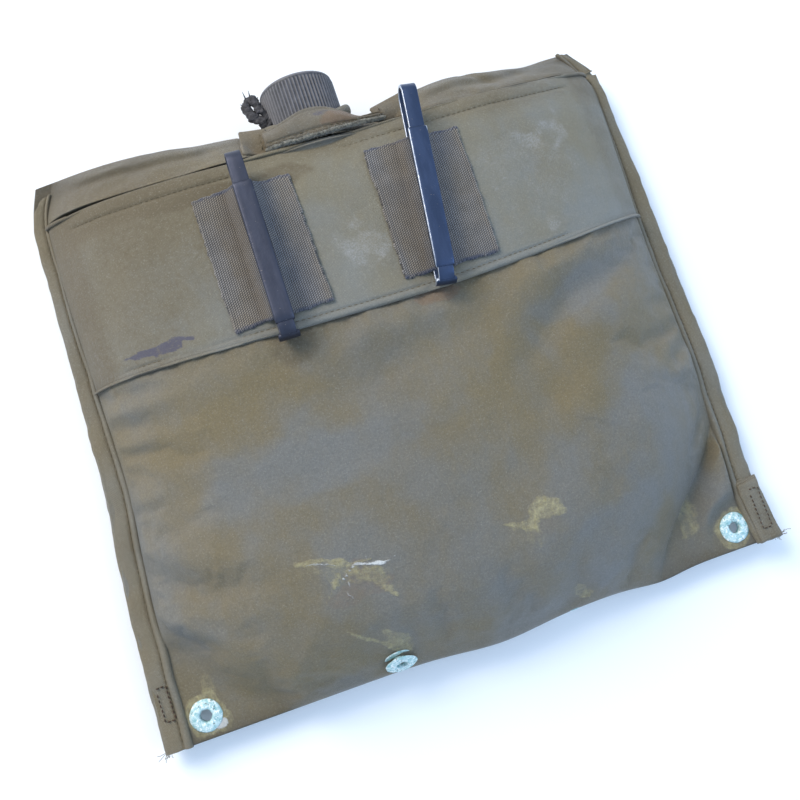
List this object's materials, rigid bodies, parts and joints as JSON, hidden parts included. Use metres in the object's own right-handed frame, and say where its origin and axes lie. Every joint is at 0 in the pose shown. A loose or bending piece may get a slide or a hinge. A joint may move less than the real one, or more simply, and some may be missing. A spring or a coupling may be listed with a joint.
{
  "type": "canteen",
  "caption": "Soft flat canteen in an olive cloth cover with a ribbed screw cap, steel belt clips in webbing keepers, and metal drain eyelets.",
  "frame": {"origin": "under the middle of the whole object, on the surface that the cover's front face rests on", "axes": "+X across the bag, +Y from the bottom edge to the cap, +Z out of the back of the bag, where the clips are"},
  "size_m": [0.28, 0.252, 0.0636],
  "materials": {
    "cover_cloth": "coated nylon, dull sheen",
    "hanger_cloth": "coated nylon, chalky wear",
    "binding_tape": "woven tape",
    "webbing": "coarse ribbed webbing",
    "pile": "short pile",
    "hook_and_loop": "fuzzy tape",
    "board": "stiff fibre board",
    "clip_steel": "black oxide, worn edges",
    "eyelet_brass": "green corrosion over blackened brass",
    "bottle_plastic": "soft olive plastic",
    "cap_plastic": "moulded, satin",
    "gasket_rubber": "matt",
    "strap_rubber": "torn and weathered"
  },
  "bodies": {
    "cover": {"front_panel": "cover_cloth", "top_band": "cover_cloth", "back_panel": "cover_cloth", "hanger_panel": "hanger_cloth", "stiffener_board": "board", "front_lining": "pile", "back_lining": "pile", "binding_left": "binding_tape", "binding_right": "binding_tape", "binding_end_tab": "binding_tape", "collar_tongue": "cover_cloth", "collar_tab_left": "cover_cloth", "collar_tab_right": "cover_cloth", "hook_tape": "hook_and_loop", "loop_tape": "hook_and_loop", "webbing_keeper_left": "webbing", "webbing_keeper_right": "webbing", "corner_eyelets": "eyelet_brass", "corner_washers": "eyelet_brass", "drain_eyelets": "eyelet_brass", "drain_washers": "eyelet_brass", "bottle_body": "bottle_plastic", "cap_strap": "strap_rubber"},
    "gasket": {"cap_gasket": "gasket_rubber"},
    "cap": {"cap": "cap_plastic"},
    "clip_left": {"clip_left": "clip_steel"},
    "clip_right": {"clip_right": "clip_steel"},
    "slide_left": {"clip_slide_left": "clip_steel"},
    "slide_right": {"clip_slide_right": "clip_steel"}
  },
  "joints": [
    {"name": "cap_lift", "type": "slide", "parent": "cover", "child": "gasket", "axis": [0, 1, 0], "range_m": [0, 0.0076]},
    {"name": "cap_turn", "type": "hinge", "parent": "gasket", "child": "cap", "pos_m": [-0.005, 0.114, 0.024], "axis": [0, 1, 0], "range_deg": [0, 540]},
    {"name": "clip_left_shift", "type": "slide", "parent": "cover", "child": "clip_left", "axis": [0.0105, 0.9999, 0], "range_m": [-0.004, 0.004]},
    {"name": "clip_right_shift", "type": "slide", "parent": "cover", "child": "clip_right", "axis": [0.1323, 0.9912, 0], "range_m": [-0.006, 0.002]},
    {"name": "slide_left_lock", "type": "slide", "parent": "clip_left", "child": "slide_left", "axis": [0.0105, 0.9999, 0], "range_m": [0, 0.0068]},
    {"name": "slide_right_lock", "type": "slide", "parent": "clip_right", "child": "slide_right", "axis": [0.1323, 0.9912, 0], "range_m": [0, 0.0068]}
  ],
  "couplings": [
    {"joint": "cap_lift", "follows": "cap_turn", "m_per_rad": 0.00079577}
  ]
}
